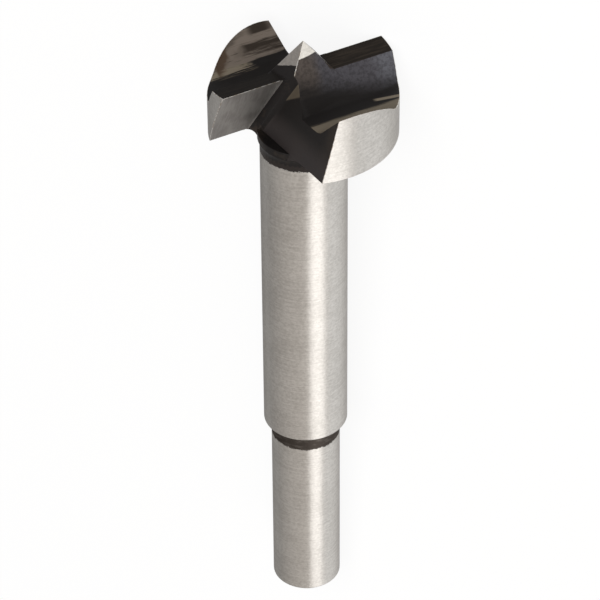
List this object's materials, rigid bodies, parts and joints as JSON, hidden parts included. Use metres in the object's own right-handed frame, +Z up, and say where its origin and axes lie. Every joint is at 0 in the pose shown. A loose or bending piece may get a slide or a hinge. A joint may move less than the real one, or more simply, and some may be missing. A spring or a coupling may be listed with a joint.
{
  "type": "forstner bit",
  "caption": "Forstner drill bit with a lobed cutting head, hooked cutting edges, a pyramid centre point and a stepped round shank, for boring flat-bottomed holes in wood.",
  "frame": {"origin": "bottom centre of the bit as it lies at rest on a table", "axes": "+X from the shank end towards the point, +Z up; the bit's axis rises about four degrees towards the head"},
  "size_m": [0.0916, 0.025, 0.0216],
  "materials": {
    "steel": "ground bright, with black oxide left in the gashes, on the neck and in a band below the shoulder"
  },
  "bodies": {
    "root": {"bit": "steel"}
  },
  "joints": []
}
